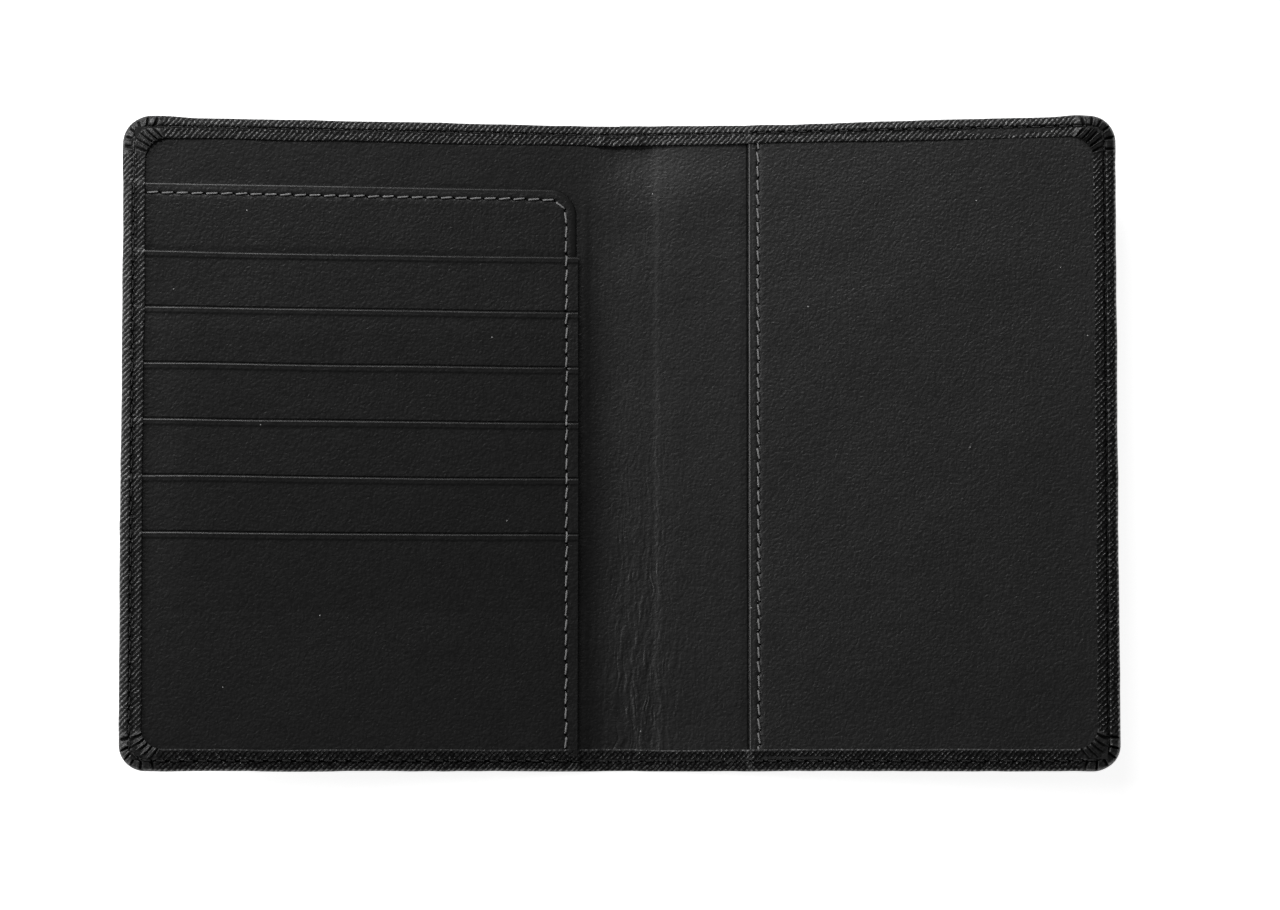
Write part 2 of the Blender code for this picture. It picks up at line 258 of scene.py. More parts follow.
class Recipe:
    """A Principled material whose pattern is written as a formula over the flat place."""

    def __init__(self, name, colour, roughness, specular=0.5):
        self.material = bpy.data.materials.new(name)
        self.material.use_nodes = True
        self.tree = self.material.node_tree
        self.shader = self.tree.nodes["Principled BSDF"]
        self.shader.inputs["Base Color"].default_value = rgba(colour)
        self.shader.inputs["Roughness"].default_value = roughness
        self.shader.inputs["Specular IOR Level"].default_value = specular
        self.flat = self.add("ShaderNodeAttribute", attribute_name="flat").outputs["Vector"]

    def add(self, kind, *values, **named):
        """A node whose first inputs take the values. Each name is an input's or a setting's."""
        node = self.tree.nodes.new(kind)
        for key, value in named.items():
            if key in node.inputs:
                self.feed(node.inputs[key], value)
            else:
                setattr(node, key, value)
        for socket, value in zip(node.inputs, values):
            self.feed(socket, value)
        return node

    def feed(self, socket, value):
        if isinstance(value, bpy.types.NodeSocket):
            self.tree.links.new(value, socket)
        else:
            socket.default_value = value

    def math(self, operation, *values):
        return self.add("ShaderNodeMath", *values, operation=operation).outputs[0]

    def weighed(self, *terms):
        """The sum of the terms, each a value and its weight."""
        value, *others = [self.math("MULTIPLY", *term) for term in terms]
        for other in others:
            value = self.math("ADD", value, other)
        return value

    def amount(self, name):
        """A number that the mesh has for each place."""
        return self.add("ShaderNodeAttribute", attribute_name=name).outputs["Fac"]

    def vector(self, operation, *values):
        node = self.add("ShaderNodeVectorMath", *values, operation=operation)
        return node.outputs["Value" if operation == "DOT_PRODUCT" else "Vector"]

    def noise(self, scale, detail=2.0, place=None, output="Fac"):
        node = self.add("ShaderNodeTexNoise", place or self.flat, Scale=scale, Detail=detail)
        return node.outputs[output]

    def cells(self, scale, place, **settings):
        return self.add("ShaderNodeTexVoronoi", place, Scale=scale, **settings).outputs["Distance"]

    def creases(self, scale, place, width):
        """0 along the winding lines where a noise crosses its middle, rising to 1 beside them."""
        apart = self.math("SUBTRACT", self.noise(scale, 1.0, place=place), 0.5)
        return self.ramp(self.math("ABSOLUTE", apart), 0.0, width)

    def ramp(self, value, low, high, out_low=0.0, out_high=1.0):
        node = smooth_ramp(self.tree, low, high, out_low, out_high)
        self.feed(node.inputs["Value"], value)
        return node.outputs["Result"]

    def wobble(self, scale, amount):
        """The flat place, moved about by noise, so that a pattern on it isn't ruled."""
        shifted = self.vector("SUBTRACT", self.noise(scale, output="Color"), (0.5, 0.5, 0.5))
        return self.vector("MULTIPLY_ADD", shifted, (amount, amount, amount), self.flat)

    def bump(self, height, distance_mm):
        return self.add("ShaderNodeBump", Height=height, Distance=distance_mm * MM).outputs["Normal"]

    def mix(self, factor, low, high):
        node = self.add("ShaderNodeMix", data_type="RGBA")
        for index, value in ((0, factor), (6, low), (7, high)):
            self.feed(node.inputs[index], value)
        return node.outputs[2]

    def tint(self, factor, low, high, lint=None):
        """Mixes two colours over the surface, with specks of lint, and feeds them to the shader."""
        colour = self.mix(factor, rgba(low), rgba(high))
        if lint is not None:
            colour = self.mix(lint, colour, rgba(0.4))
        self.feed(self.shader.inputs["Base Color"], colour)

    def done(self, normal=None, roughness=None):
        if normal is not None:
            self.feed(self.shader.inputs["Normal"], normal)
        if roughness is not None:
            self.feed(self.shader.inputs["Roughness"], roughness)
        return self.material


def nappa(name, creased):
    """Smooth milled leather: fine pebbles with soft creases between them and specks of lint.

    The grain fades where the attribute "stretched" says that it is drawn over an edge. On creased
    leather the attribute "worn" brings up long fine wrinkles that run up the spine.
    """
    r = Recipe(name, 0.01, 0.46, 0.38)
    moved = r.wobble(0.8, 0.8)
    pebbles = r.ramp(r.cells(1.55, moved, feature="SMOOTH_F1"), 0.1, 0.75, 1.0, 0.0)
    small = r.noise(2.1, 0.5, place=moved)
    soft = r.noise(0.4)
    creases = r.creases(1.05, moved, 0.2)
    stretched = r.amount("stretched")
    grain = r.weighed((pebbles, 0.7), (small, 0.4), (creases, 0.4))
    height = r.weighed((grain, r.math("MULTIPLY_ADD", stretched, -0.85, 1.0)), (soft, 0.7))
    if creased:
        drawn = r.vector("MULTIPLY", r.wobble(0.1, 4.0), (1.0, 0.17, 1.0))
        wrinkles = r.math("MULTIPLY", r.creases(0.8, drawn, 0.26), r.amount("worn"))
        height = r.math("ADD", height, r.math("MULTIPLY", wrinkles, 1.5))
    from_speck = r.cells(0.021, r.flat, feature="F1", voronoi_dimensions="2D")
    r.tint(pebbles, 0.007, 0.011, lint=r.ramp(from_speck, 0.002, 0.0032, 1.0, 0.0))
    rough = r.math("MULTIPLY_ADD", stretched, -0.12, r.ramp(soft, 0.2, 0.8, 0.44, 0.5))
    return r.done(r.bump(height, 0.048 if creased else 0.055), rough)


HATCH_PITCH = 0.82


def hatched():
    """Cross-hatched leather: fine parallel ridges at 45 degrees, crossed by fainter ones.

    The pattern attribute on the hem leather is 1 where the leather is drawn in round a corner or pressed
    smooth, and the ridges fade there. It is 2 in each slit between the gathers and along the stitch
    channel, where painted shade takes the colour and the specular level near black.
    """
    r = Recipe("hatched_leather", 0.008, 0.36, 0.5)
    moved = r.wobble(0.75, 0.8)
    along = r.vector("DOT_PRODUCT", moved, (0.7, -0.67, 0))
    across = r.vector("DOT_PRODUCT", moved, (0.72, 0.69, 0))
    turns = 2 * math.pi / HATCH_PITCH
    ridge = r.ramp(r.math("SINE", r.math("MULTIPLY", along, turns)), -0.6, 0.9)
    cross = r.ramp(r.math("SINE", r.math("MULTIPLY", across, turns)), -0.9, 0.9)
    height = r.math("MULTIPLY", ridge, r.math("MULTIPLY_ADD", cross, 0.5, 0.5))
    pattern = r.amount("gathered_and_slit_shade")
    gathered_and_slit_shade = r.math("MINIMUM", pattern, 1.0)
    # Painted shade: near black where the pattern is 2, in each slit and along the stitch channel.
    slit_shade_factor = r.ramp(pattern, 1.05, 1.8, 1.0, 0.04)
    patchy = r.ramp(r.noise(0.9), 0.3, 0.7, 0.35, 1.0)
    strength = r.math("MULTIPLY", patchy, r.math("MULTIPLY_ADD", gathered_and_slit_shade, -0.85, 1.0))
    height = r.weighed((height, strength), (r.noise(2.2), 0.7))
    # Painted shade in the grooves between the ridges: the colour and the specular level are lowest there
    # and highest on the crests.
    crest_and_groove_shade = r.ramp(r.math("MULTIPLY_ADD", gathered_and_slit_shade, 0.3, height), 0.25, 1.05)
    crest_and_groove_shade = r.math("MULTIPLY", crest_and_groove_shade, slit_shade_factor)
    r.tint(crest_and_groove_shade, 0.004, 0.014)
    r.feed(r.shader.inputs["Specular IOR Level"], r.ramp(crest_and_groove_shade, 0.0, 1.0, 0.1, 0.8))
    rough = r.ramp(height, 0.0, 1.0, 0.52, 0.36)
    return r.done(r.bump(height, 0.112), rough)


def sewing_thread(name, light, shine):
    """Twisted thread: fine plies and a little fuzz in its colour, with painted shade where it enters a
    hole.
    """
    r = Recipe(name, light, 0.6, shine)
    r.shader.inputs["Sheen Roughness"].default_value = 0.4
    fuzz = r.noise(6.0, 3.0)
    # Painted shade: colour, specular level and sheen fall towards black as the thread goes into a hole.
    seen = r.ramp(r.amount("buried"), 0.0, 1.0, 1.0, 0.0)
    r.feed(r.shader.inputs["Specular IOR Level"], r.math("MULTIPLY", seen, shine))
    r.feed(r.shader.inputs["Sheen Weight"], r.math("MULTIPLY", seen, 0.6 * shine))
    shade = r.math("MULTIPLY", r.ramp(fuzz, 0.3, 0.7, 0.4, 1.0), seen)
    r.tint(shade, 0.002, light)
    return r.done(r.bump(fuzz, 0.05))


def woven(name, dark, light):
    """Plain woven lining fabric."""
    r = Recipe(name, dark, 0.85, 0.3)
    place = r.add("ShaderNodeTexCoord").outputs["Object"]
    split = r.add("ShaderNodeSeparateXYZ", place)
    turns = 2 * math.pi / (0.35 * MM)
    warp = r.math("SINE", r.math("MULTIPLY", split.outputs["X"], turns))
    weft = r.math("SINE", r.math("MULTIPLY", split.outputs["Y"], turns))
    weave = r.math("MULTIPLY_ADD", r.math("MULTIPLY", warp, weft), 0.5, 0.5)
    r.tint(weave, dark, light)
    return r.done(r.bump(weave, 0.05))


def fibre_board():
    """Grey-brown pressed board, with flecks."""
    r = Recipe("fibre_board", (0.2, 0.16, 0.11), 0.9, 0.3)
    place = r.add("ShaderNodeTexCoord").outputs["Object"]
    flecks = r.noise(900.0, 4.0, place=place)
    r.tint(r.ramp(flecks, 0.35, 0.65), (0.14, 0.11, 0.075), (0.26, 0.21, 0.15))
    return r.done(r.bump(flecks, 0.04))


def pale_floor():
    """A white table, lit a little from below."""
    r = Recipe("pale_floor", 0.85, 0.9, 0.1)
    r.shader.inputs["Emission Color"].default_value = (1, 1, 1, 1)
    r.shader.inputs["Emission Strength"].default_value = 0.88
    return r.done()


NAPPA = nappa("nappa", creased=False)
CREASED_NAPPA = nappa("creased_nappa", creased=True)
HATCHED = hatched()
GREY_THREAD = sewing_thread("grey_thread", 0.3, 0.35)
WOVEN = woven("lining_weave", 0.012, 0.035)
BOARD = fibre_board()
BLACK_THREAD = sewing_thread("black_thread", 0.011, 0.25)

# ---- Heights of the card side ----

LEAF_T = 0.42  # thickness of a pocket front
TAIL_T = 0.2  # and of the fabric tail that makes its pocket deeper
STRIP = 17.0  # from the mouth to the end of a front, but for the last
DEPTH = 48.0  # from the mouth to the bottom of a pocket
PINCHED = 0.38  # how much of its height the pocket stack keeps at its sewn ends
SETTLE = MOUTHS[0] - MOUTHS[1]  # the run over which a front comes down past the end of one under it
LEFT_END = -(OUTER_U - HEM)  # the hem's inner edge on the card side


def stacked_below(k, y):
    """Height added under pocket front k, from 0, by the fronts and tails that lie under it."""
    total = np.zeros_like(np.asarray(y, float))
    for mouth in MOUTHS[:k]:
        for end, thickness in ((mouth - STRIP, LEAF_T), (mouth - DEPTH, TAIL_T)):
            total = total + thickness * np.clip(1 - (end - y) / SETTLE, 0, 1)
    return total


def pinch(u):
    """How much of its height the pocket stack keeps: less at its sewn ends than in its middle."""
    at_hem = smooth((u - LEFT_END + 1.0) / 11.0)
    at_seam = smooth((-PANEL_U - PANEL_STITCH + 0.3 - u) / 9.0)
    return PINCHED + (1 - PINCHED) * at_hem * (0.7 + 0.3 * at_seam)


def seam_dip(across, along, pitch, depth=0.08, hole=0.2):
    """The hollow that a row of stitches pulls into leather, deepest at its needle holes."""
    phase = np.abs((along / pitch + 0.5) % 1 - 0.5) * pitch
    return -depth * hump(across, 0.55) - hole * hump(across, 0.34) * hump(phase, 0.42)


def pillow(u, y, seed, size=17.0, height=0.12):
    """Broad soft unevenness of a leather sheet."""
    finer = noise(u / size * 2.3, y / size * 2.3, seed + 1)
    return height * (noise(u / size, y / size, seed) + 0.45 * finer)


def rolled(d, radius):
    """A quarter round of height 1 at an edge, at distance d in from it."""
    return np.sqrt(np.clip(1 - (1 - np.clip(np.asarray(d, float) / radius, 0, 1)) ** 2, 0, 1))


def folded_edge(d, rise=0.5, slope=0.0, step=0.0, radius=0.55):
    """Height of a turned-over edge at distance d in from it, against the sheet's own height.

    It is rolled over, climbs gently by slope as far as its seam, and steps down where it ends.
    """
    d = np.asarray(d, float)
    climb = slope * (smooth(d / 2.3) - 1)
    fold_end = step * (1 - smooth((d - 1.1) / 0.62))
    return rise * (rolled(d, radius) - 1) + climb + fold_end


def drawn_over(d):
    """How far leather is stretched at distance d in from a folded edge, from 0 to 1."""
    return 1 - smooth((d - 0.5) / 0.9)


EDGE_STOPS = [0, 0.02, 0.06, 0.12, 0.2, 0.3, 0.42, 0.55, 0.75, 0.95, 1.1, 1.22, 1.35, 1.5, 1.62, 1.75]
BY_THE_EDGE = EDGE_STOPS[-1]


def from_edge(*stops):
    """Places across a sheet: the close ones at its folded edge, and then those of the stops."""
    return np.concatenate([EDGE_STOPS, spaced([(BY_THE_EDGE, 0), *stops])[1:]])


# ---- Card panel ----


def panel_edge(u, y):
    """Distance in from the panel's free edge: its top, its round corner and its spine side."""
    from_side, from_top = -PANEL_U - u, PANEL_TOP - y
    r = PANEL_CORNER_R
    in_corner = (from_side < r) & (from_top < r)
    corner = r - np.hypot(r - from_side, r - from_top)
    return np.where(in_corner, corner, np.minimum(from_side, from_top))


def panel_seam_along(u, y):
    """Distance run along the panel's seam, from its hem end."""
    r = PANEL_CORNER_R - PANEL_STITCH
    run_top = -PANEL_U - PANEL_CORNER_R - LEFT_END
    from_side, from_top = -PANEL_U - u, PANEL_TOP - y
    angle = np.arctan2(PANEL_CORNER_R - from_side, PANEL_CORNER_R - from_top)
    corner = run_top + r * np.clip(angle, 0, math.pi / 2)
    below = np.clip(from_top - PANEL_CORNER_R, 0, None)
    return np.where(from_side > PANEL_CORNER_R, u - LEFT_END, corner + below)


def panel_top(u, y):
    d = panel_edge(u, y)
    height = PANEL_H + folded_edge(d, slope=0.1, radius=0.6) + pillow(u, y, 11)
    return height + seam_dip(d - PANEL_STITCH, panel_seam_along(u, y), STITCH_PITCH) + pressed(0, u, y)


PANEL_WIDTH = OUTER_U - SHEET_INSET - PANEL_U


def add_panel():
    inward = from_edge((2.6, 0.14), (5.8, 0.4), (18.0, 0.8))
    further = spaced([(PANEL_TOP - 18, 0), (-HALF_HEIGHT + PANEL_FOOT_INSET, 2.5)])[1:]
    y = np.concatenate([PANEL_TOP - inward, further])
    from_side = from_edge((2.6, 0.14), (8, 0.5), (95.3, 0.6))
    reach = PANEL_WIDTH / from_side[-1]
    r = PANEL_CORNER_R
    lift = np.clip(r - (PANEL_TOP - y), 0, None)[:, None]
    corner_start = r - np.sqrt(np.clip(r * r - lift**2, 0, None))
    span = from_side[-1] * reach
    u = -PANEL_U - corner_start - from_side * reach * (span - corner_start) / span
    u, y = u[:, ::-1], np.broadcast_to(y[:, None], u.shape)
    top = panel_top(u, y)
    bottom = np.full_like(top, LINING_TOP + 0.06)
    pattern = ("stretched", drawn_over(panel_edge(u, y)))
    return sheet("card_panel_front", u, y, top, bottom, NAPPA, "card_cover", pattern)


# ---- Card pockets ----


def pocket_base(k, u, y):
    """Height of the face that pocket front k lies on."""
    return PANEL_H + 0.03 + stacked_below(k, y) * pinch(u)


def mouth_line(k, u):
    """A pocket's mouth, which wanders a little and dips between its sewn ends."""
    middle = smooth((u - LEFT_END) / 30) * smooth((-PANEL_U - u) / 30)
    return MOUTHS[k] + 0.1 * noise(u / 21.0, k * 3.7, 21) - 0.12 * middle


def pressed(k, u, y, depth=0.16):
    """How far the leather is pressed down just above the mouth of pocket k, and under it."""
    if k >= POCKETS:
        return 0.0
    return -depth * (1 - smooth((y - mouth_line(k, u) - 0.02) / 0.34))


def pocket_top(k, u, y):
    """Upper face of pocket front k."""
    d = mouth_line(k, u) - y
    height = pocket_base(k, u, y) + LEAF_T + 0.06 + folded_edge(d, step=0.16)
    height = height + pillow(u, y, 31 + 2 * k, 14.0, 0.09) + pressed(k + 1, u, y)
    return height + seam_dip(u + PANEL_U + PANEL_STITCH, panel_seam_along(u, y), STITCH_PITCH)


def card_side_top(u, y):
    """Upper face of whatever lies uppermost on the card side."""
    top = panel_top(u, y)
    for k in range(POCKETS):
        top = np.where(y <= mouth_line(k, u), pocket_top(k, u, y), top)
    return top


POCKET_RIGHT = -PANEL_U + 0.2  # the fronts stand out a little past the panel, towards the spine
POCKET_WIDTH = POCKET_RIGHT - LEFT_END + 1.2
LAST_FOOT = HALF_HEIGHT - HEM + 1.5  # the last front runs on under the hem


def add_pockets():
    ends = spaced([(0, 0), (0.6, 0.15), (1.3, 0.18), (2.6, 0.13), (6, 0.4), (18, 1.0), (92.6, 1.5)])
    u = np.sort(POCKET_RIGHT - ends * POCKET_WIDTH / ends[-1])
    for k in range(POCKETS):
        last = k == POCKETS - 1
        foot = -LAST_FOOT if last else MOUTHS[k] - STRIP
        near = MOUTHS[k] - MOUTHS[k + 1] if not last else 0
        dense = [(near - 0.7, 0.42), (near + 0.2, 0.09)] if not last else []
        depth = from_edge(*dense, (MOUTHS[k] - foot, 0.42))
        mouth = mouth_line(k, u)
        y = mouth - depth[:, None] * (mouth - foot) / depth[-1]
        uu = np.broadcast_to(u, y.shape)
        bottom = pocket_base(k, uu, y) + 0.01
        top = np.maximum(pocket_top(k, uu, y), bottom + 0.05)
        stretched = ("stretched", drawn_over(mouth - y))
        sheet(f"card_pocket_front_{k + 1}", uu, y, top, bottom, NAPPA, "card_cover", stretched)


TAIL_INSET = 0.5  # at both sides of the pocket
TAIL_OVERLAP = 2.0  # with the front that it is sewn to


def add_tails():
    """The thin fabric that closes each of the first five pockets, hidden under the fronts."""
    u = spaced([(LEFT_END + TAIL_INSET, 0), (-PANEL_U - TAIL_INSET, 4.0)])
    for k in range(POCKETS - 1):
        y = spaced([(MOUTHS[k] - STRIP + TAIL_OVERLAP, 0), (MOUTHS[k] - DEPTH, 1.5)])[:, None]
        uu, yy = np.broadcast_arrays(u, y)
        bottom = pocket_base(k, uu, yy)
        sheet(f"card_pocket_tail_{k + 1}", uu, yy, bottom + 0.12, bottom, WOVEN, "card_cover")


# ---- Passport sleeve ----


def sleeve_top(u, y):
    d = u - SLEEVE_U
    height = SLEEVE_H + folded_edge(d, slope=0.1) + pillow(u, y, 51, 22.0, 0.16)
    return height + seam_dip(d - SLEEVE_STITCH, HALF_HEIGHT - y, SLEEVE_PITCH, 0.12, 0.16)


def add_sleeve():
    d = from_edge((2.6, 0.14), (6, 0.5), (OUTER_U - SLEEVE_U - SHEET_INSET, 1.6))
    y = spaced([(HALF_HEIGHT - SHEET_INSET, 0), (-HALF_HEIGHT + SHEET_INSET, 0.42)])[:, None]
    u = SLEEVE_U + d + 0.1 * noise(y / 26.0, 0.3, 61) * hump(d, 8)
    u, y = np.broadcast_arrays(u, y)
    top = sleeve_top(u, y)
    bottom = np.full_like(top, LINING_TOP + 0.08)
    stretched = ("stretched", drawn_over(u - SLEEVE_U))
    return sheet("passport_sleeve_front", u, y, top, bottom, NAPPA, "passport_cover", stretched)


# ---- Lining ----


BOARD_U = -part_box("card_cover_stiffener")[1].x / MM - 0.1  # where the boards stop, beside the spine
DEEPEST = -1.0  # the lowest that the lining sinks between the boards, against its height on them
STRIP_INSET = 6  # how far inside the head and the foot the interlining stops


def add_interlining():
    """A thin strip on the inside of the spine's skin, under the lining."""
    u = spaced([(-FOLD_X, 0), (FOLD_X, 1.0)])
    y = spaced([(HALF_HEIGHT - STRIP_INSET, 0), (-HALF_HEIGHT + STRIP_INSET, 6.0)])
    u, y = np.meshgrid(u, y)
    top = np.full_like(u, SKIN + 0.12)
    return sheet("spine_interlining_strip", u, y, top, top - 0.1, WOVEN, "spine")


def spine_wrinkles(u, y):
    """Creases along the spine, strongest towards the foot, and the ridge by the passport fold."""
    lean = u + 1.1 * noise(y / 13.0, u / 9.0, 71) + 0.45 * noise(y / 4.0, u / 3.0, 72)
    lean = lean - 0.05 * (y + 40) * smooth((-y - 20) / 50)
    long = 2 * np.hypot(noise(lean / 1.5, y / 14.0, 73), 0.14) - 1
    short = 2 * np.hypot(noise(lean / 0.9, y / 6.0, 74), 0.14) - 1
    zone = hump(u - 4.6, 4.6) + 0.4 * hump(u + 1.5, 6.0)
    strength = 0.1 + 0.9 * smooth((0 - y) / 55)
    creases = zone * strength * (0.065 * long + 0.05 * short)
    shoulder = 0.12 * smooth((u - 6.9) / 2.4) * (1 - smooth((u - 9.5) / 8))
    ridge = 0.045 * hump(u - 8.5 - 0.55 * noise(y / 9.0, 1.5, 75), 0.7)
    return creases + shoulder + ridge


def worn(u, y):
    """How creased the lining's grain is, from 0 to 1: most along the folds, towards the foot."""
    zone = hump(u - 3.0, 8.0) + 0.35 * hump(u - 12.0, 14.0)
    return zone * (0.25 + 0.75 * smooth((25 - y) / 80))


def lining_top(u, y):
    covered = smooth((np.abs(y) - HALF_HEIGHT + HEM) / 1.5)
    from_panel = -panel_edge(u, y)
    under_panel = smooth((0.3 - from_panel) / 0.6)
    under_sleeve = smooth((u - SLEEVE_U + 0.3) / 0.9)
    free = (1 - covered) * (1 - under_panel) * (1 - under_sleeve)
    inside = HALF_HEIGHT - HEM
    between_boards = smooth((u + BOARD_U) / 10) * (1 - smooth((u - 3) / 16))
    valley = -0.6 * smooth((u + PANEL_U + 0.3) / 6.5) * smooth((inside - y - 5) / 18)
    valley = valley + 0.72 * smooth((u + 2.6) / 10.5) * smooth((inside - y) / 26)
    valley = valley * smooth((u + BOARD_U) / 2) - 0.22 * smooth((u - 9.5) / 17)
    at_head = -0.62 * (1 - smooth((inside - y) / 17))
    at_foot = -0.3 * (1 - smooth((inside + y) / 18))
    full = 0.3 * smooth((inside - y) / 15) * (1 - smooth((45 - y) / 30))
    valley = valley + full * smooth((u + 9) / 8) * (1 - smooth((u - 12) / 14))
    to_sleeve = -0.12 * smooth((u - SLEEVE_U + 2.2) / 2.0) - 0.3 * smooth((u - SLEEVE_U + 0.45) / 0.3)
    loose = spine_wrinkles(u, y) + pillow(u, y, 81, 16.0, 0.1) + 0.04 + valley + to_sleeve
    return LINING_TOP + free * np.maximum(loose + between_boards * (at_head + at_foot), DEEPEST)


def add_lining(side, name):
    if side == CARD:
        u = -spaced([(0, 0), (12.0, 0.25), (16.0, 1.0), (OUTER_U - LINING_INSET, 2.5)])[::-1]
    else:
        u = spaced([(0, 0), (13.0, 0.25), (26.0, 0.6), (29.0, 0.2), (OUTER_U - LINING_INSET, 4.0)])
    y = spaced([(HALF_HEIGHT - LINING_INSET, 0), (LINING_INSET - HALF_HEIGHT, 0.6)])
    u, y = np.meshgrid(u, y)
    top = lining_top(u, y)
    bottom = np.minimum(LINING_TOP - 0.4, top - 0.25)
    lining = sheet(name, u, y, top, bottom, CREASED_NAPPA, None, ("worn", worn(u, y)))
    blend_half(lining, side)
    return lining


def blend_half(obj, side):
    """Fixes a half's piece where it was made: bakes its transform into its mesh, the same on either
    side.
    """
    if side == PASSPORT:
        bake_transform(obj)
    else:
        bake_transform(obj)


# ---- Outer leather with its hem ----


def under_hem(u, y):
    """Height of what the hem lies on."""
    depth_y, depth_x = HALF_HEIGHT - np.abs(y), OUTER_U - np.abs(u)
    at_side = depth_x < depth_y
    height = np.full(np.shape(u), LINING_TOP)
    on_panel = smooth((-PANEL_U + 1.5 - u) / 3.4) * smooth((PANEL_TOP + 0.7 - y) / 1.4)
    on_sleeve = smooth((u - SLEEVE_U + 0.9) / 1.6)
    height = height + (PANEL_H - LINING_TOP) * on_panel + (SLEEVE_H - LINING_TOP) * on_sleeve
    pockets = np.zeros(np.shape(u))
    for k in range(POCKETS):
        inside = smooth((MOUTHS[k] + 0.4 - y) / 0.8)
        rise = stacked_below(k, y) * PINCHED + LEAF_T + 0.03
        pockets = np.where(inside > 0, np.maximum(pockets, inside * rise), pockets)
    return height + pockets * on_panel * np.where(at_side | (y < 0), 1.0, 0.0)


def half_perimeter(side):
    """Samples round a half's sewn edge, from the head at the spine to the foot at the spine.

    Returns the outer place, the outward normal, the place of the hem's inner edge, how far round
    a corner each sample is (0 to 1, and -1 on a straight run), and the distance run.
    """
    span = HEM + HEM_INNER_R  # a corner's zone, from the square corner
    straight = span - CORNER_R
    arc = CORNER_R * math.pi / 2
    corner_run = np.linspace(0, 2 * straight + arc, 190)
    top = spaced([(0, 0), (OUTER_U - span, 0.4)])[:-1]
    down = spaced([(HALF_HEIGHT - span, 0), (0, 0.4)])[1:]
    angle = np.clip((corner_run - straight) / CORNER_R, 0, math.pi / 2)
    first = np.clip(corner_run, 0, straight)
    last = np.clip(corner_run - straight - arc, 0, None)
    corner_u = OUTER_U - span + first + CORNER_R * np.sin(angle)
    corner_y = HALF_HEIGHT - CORNER_R * (1 - np.cos(angle)) - last
    in_turn = corner_run / corner_run[-1]
    turn = in_turn * math.pi / 2
    inner_u = OUTER_U - span + HEM_INNER_R * np.sin(turn)
    inner_y = HALF_HEIGHT - span + HEM_INNER_R * np.cos(turn)

    def run_round(corner_u, corner_y, inset):
        along_head = np.stack([top, np.full_like(top, HALF_HEIGHT - inset)], 1)
        along_side = np.stack([np.full_like(down, OUTER_U - inset), down], 1)
        return np.concatenate([along_head, np.stack([corner_u, corner_y], 1), along_side])

    outer = run_round(corner_u, corner_y, 0)
    inner = run_round(inner_u, inner_y, HEM)
    facing = np.concatenate([np.zeros(len(top)), angle, np.full(len(down), math.pi / 2)])
    normal = np.stack([np.sin(facing), np.cos(facing)], 1)
    round_corner = np.concatenate([np.full(len(top), -1.0), in_turn, np.full(len(down), -1.0)])

    def whole(upper, flip):
        lower = upper[-2::-1] * flip
        return np.concatenate([upper, lower])

    outer, inner, normal = (whole(a, np.array([1, -1])) for a in (outer, inner, normal))
    round_corner = whole(round_corner, 1)
    run = np.concatenate([[0], np.cumsum(np.hypot(*np.diff(outer, axis=0).T))])
    mirror = np.array([side, 1])
    return outer * mirror, normal * mirror, inner * mirror, round_corner, run


def pleats(corner, u, y, count, lean):
    """Gathers round a corner as seen from above: flat folds that each end in a sharp drop.

    Returns their height and how far each place is in a slit between two folds, from 0 to 1, by which the
    finish paints shade into the slit.
    """
    wander = 0.035 * noise(u * 0.3, y * 0.3, 91)
    phase = (corner + wander) * count + lean
    part = phase - np.floor(phase)
    slit = hump(part - 0.92, 0.13) + hump(part + 0.08, 0.13)
    fold = 0.45 * (1 - part) * smooth(part / 0.12) - slit + 0.2 * hump(part - 0.18, 0.1)
    strength = 0.7 + 0.3 * noise(np.floor(phase) * 1.7, 3.3, 92)
    window = smooth((corner - 0.08) / 0.08) * smooth((0.94 - corner) / 0.08)
    window = np.where(corner >= 0, window, 0.0)
    return (fold - 0.15) * strength * window, np.clip(slit, 0, 1) * window


